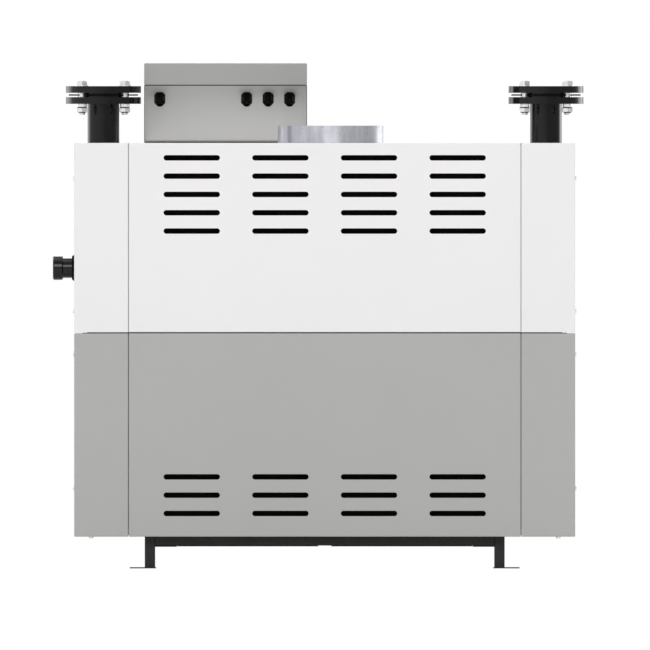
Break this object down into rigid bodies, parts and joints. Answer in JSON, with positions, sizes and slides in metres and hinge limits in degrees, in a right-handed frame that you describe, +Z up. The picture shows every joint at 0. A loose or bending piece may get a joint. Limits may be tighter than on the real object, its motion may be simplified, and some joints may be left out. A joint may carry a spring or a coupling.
{
  "type": "floor-standing industrial boiler",
  "caption": "Floor-standing heating boiler in a slotted sheet metal casing on a tube frame, with flue collar, flanged pipe connections, gas coupling and a control box on top.",
  "frame": {"origin": "on the floor, midway between the four anchor holes of the foot plates, under the casing's centre", "axes": "+Z up; -Y is the service side, which the flue collar stands nearer to; +X is to the right seen from the service side, and the gas connection points to -X"},
  "size_m": [1.271, 0.7, 1.21],
  "materials": {
    "white_paint": "satin powder coat",
    "grey_paint": "satin powder coat",
    "frame_paint": "satin black paint",
    "inner_paint": "matt black paint",
    "cheek_paint": "satin dark paint",
    "pipe_paint": "satin black paint",
    "galvanised_sheet": "galvanised, dull",
    "gasket_rubber": "matt",
    "gland_plastic": "moulded nylon"
  },
  "bodies": {
    "root": {"bottom_tray_left": "frame_paint", "bottom_tray_right": "frame_paint", "cable_glands": "gland_plastic", "control_box_base": "frame_paint", "control_box_deck": "cheek_paint", "control_box_fascia": "grey_paint", "control_box_left_cheek": "cheek_paint", "control_box_lid": "grey_paint", "control_box_rear_wall": "grey_paint", "control_box_right_cheek": "cheek_paint", "corner_plates": "frame_paint", "floor_panel": "galvanised_sheet", "flue_collar": "galvanised_sheet", "foot_plates": "frame_paint", "frame_cross_rail": "frame_paint", "frame_legs": "frame_paint", "frame_rail_front": "frame_paint", "frame_rail_left": "frame_paint", "frame_rail_rear": "frame_paint", "frame_rail_right": "frame_paint", "front_lower_panel": "grey_paint", "front_upper_panel": "white_paint", "gas_coupling": "pipe_paint", "gas_grommet": "gasket_rubber", "gas_pipe": "pipe_paint", "header_angles": "inner_paint", "inner_casing": "inner_paint", "left_counter_flange": "pipe_paint", "left_gasket": "gasket_rubber", "left_lower_cover": "grey_paint", "left_riser": "pipe_paint", "left_riser_flange": "pipe_paint", "left_upper_cover": "white_paint", "rear_lower_panel": "grey_paint", "rear_upper_panel": "white_paint", "right_counter_flange": "pipe_paint", "right_gasket": "gasket_rubber", "right_lower_cover": "grey_paint", "right_riser": "pipe_paint", "right_riser_flange": "pipe_paint", "right_upper_cover": "white_paint", "seam_angles": "inner_paint", "top_panel": "white_paint"}
  },
  "joints": []
}
